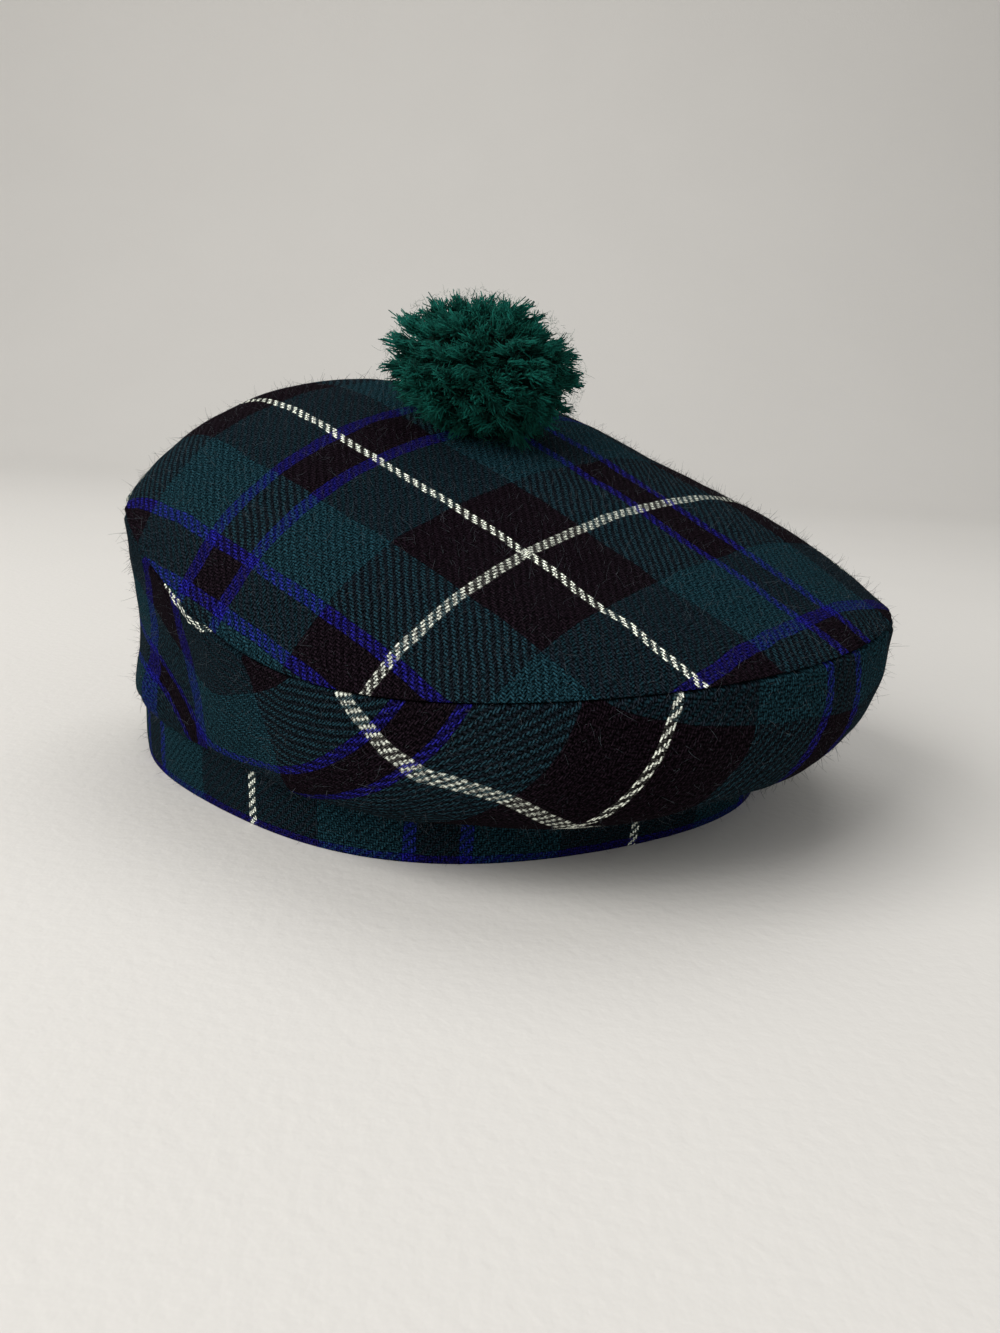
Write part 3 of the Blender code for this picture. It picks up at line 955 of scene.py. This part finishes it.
def make_floor(material):
    """A pale floor that sweeps up behind the hat."""
    profile = [(-FLOOR_HALF, 0.0), (SWEEP_START, 0.0)]
    for step in range(1, SWEEP_STEPS + 1):
        angle = math.pi / 2 * step / SWEEP_STEPS
        profile.append((SWEEP_START + SWEEP_RADIUS * math.sin(angle), SWEEP_RADIUS * (1 - math.cos(angle))))
    profile.append((SWEEP_START + SWEEP_RADIUS, FLOOR_HALF))
    verts = [(x, y, z) for y, z in profile for x in (-FLOOR_HALF, FLOOR_HALF)]
    faces = [(2 * i, 2 * i + 1, 2 * i + 3, 2 * i + 2) for i in range(len(profile) - 1)]
    mesh = bpy.data.meshes.new("hat_floor")
    mesh.from_pydata(verts, [], faces)
    mesh.shade_smooth()
    mesh.materials.append(material)
    floor = bpy.data.objects.new("hat_floor", mesh)
    bpy.context.scene.collection.objects.link(floor)


# Soft square lights: metres, and watts
Light = namedtuple("Light", "name spot size power colour")
LIGHTS = (
    Light(name="key_light", spot=(-1.1, -0.8, 1.1), size=1.3, power=32, colour=(1.0, 0.985, 0.96)),
    Light(name="fill_light", spot=(1.3, -0.7, 0.7), size=1.4, power=4, colour=(0.95, 0.98, 1.0)),
    Light(name="top_light", spot=(0.1, 0.5, 1.6), size=1.2, power=8, colour=(1, 1, 1)),
)
LIT_SPOT = (0, 0, 0.06)
SKY_COLOUR = (0.86, 0.85, 0.83, 1)
SKY_STRENGTH = 0.42


def add_light(row):
    data = bpy.data.lights.new(row.name, "AREA")
    data.size = row.size
    data.energy = row.power
    data.color = row.colour
    light = bpy.data.objects.new(row.name, data)
    light.location = row.spot
    light.rotation_euler = (Vector(LIT_SPOT) - Vector(row.spot)).to_track_quat("-Z", "Y").to_euler()
    bpy.context.scene.collection.objects.link(light)


def make_lights():
    for row in LIGHTS:
        add_light(row)
    world = bpy.data.worlds.new("studio")
    bpy.context.scene.world = world
    world.use_nodes = True
    sky = world.node_tree.nodes["Background"]
    sky.inputs["Color"].default_value = SKY_COLOUR
    sky.inputs["Strength"].default_value = SKY_STRENGTH
    bpy.context.scene.view_settings.view_transform = "Standard"


def box_middle(low, high):
    return (Vector(low) + Vector(high)) / 2


def find_shift():
    """From the headband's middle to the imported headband's place."""
    bearing = np.linspace(0, math.tau, PACKED_BEARINGS + 1)[:-1]
    ring = outward(bearing) * (band_reach(bearing) + BAND_BULGE)[:, None]
    low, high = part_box("headband")
    shift = box_middle(low, high) - box_middle(ring.min(0), ring.max(0))
    return Vector((shift.x, shift.y, 0))


hat_shift = find_shift()
make_camera()
crown_cloth = tartan("tartan_crown", -1)
turned_cloth = tartan("tartan_turned", 1)
crown_outer = make_crown(crown_cloth)
underside_outer = make_underside(turned_cloth)
band_outer = make_headband(crown_cloth)
loose = yarn_material(LOOSE_FIBRES)
make_fuzz("crown_fuzz", crown_outer[:-1], CROWN_FIBRES, seed=1, material=loose)
make_fuzz("underside_fuzz", underside_outer, UNDERSIDE_FIBRES, seed=2, material=loose)
make_fuzz("headband_fuzz", band_outer, BAND_FIBRES, seed=3, material=loose)
make_pompom(yarn_material(POMPOM_GREEN))
make_pompom_core(yarn_material(POMPOM_SHADED_HEART))
make_pompom_fuzz(yarn_material(POMPOM_FIBRE))
make_floor(floor_material())
make_lights()
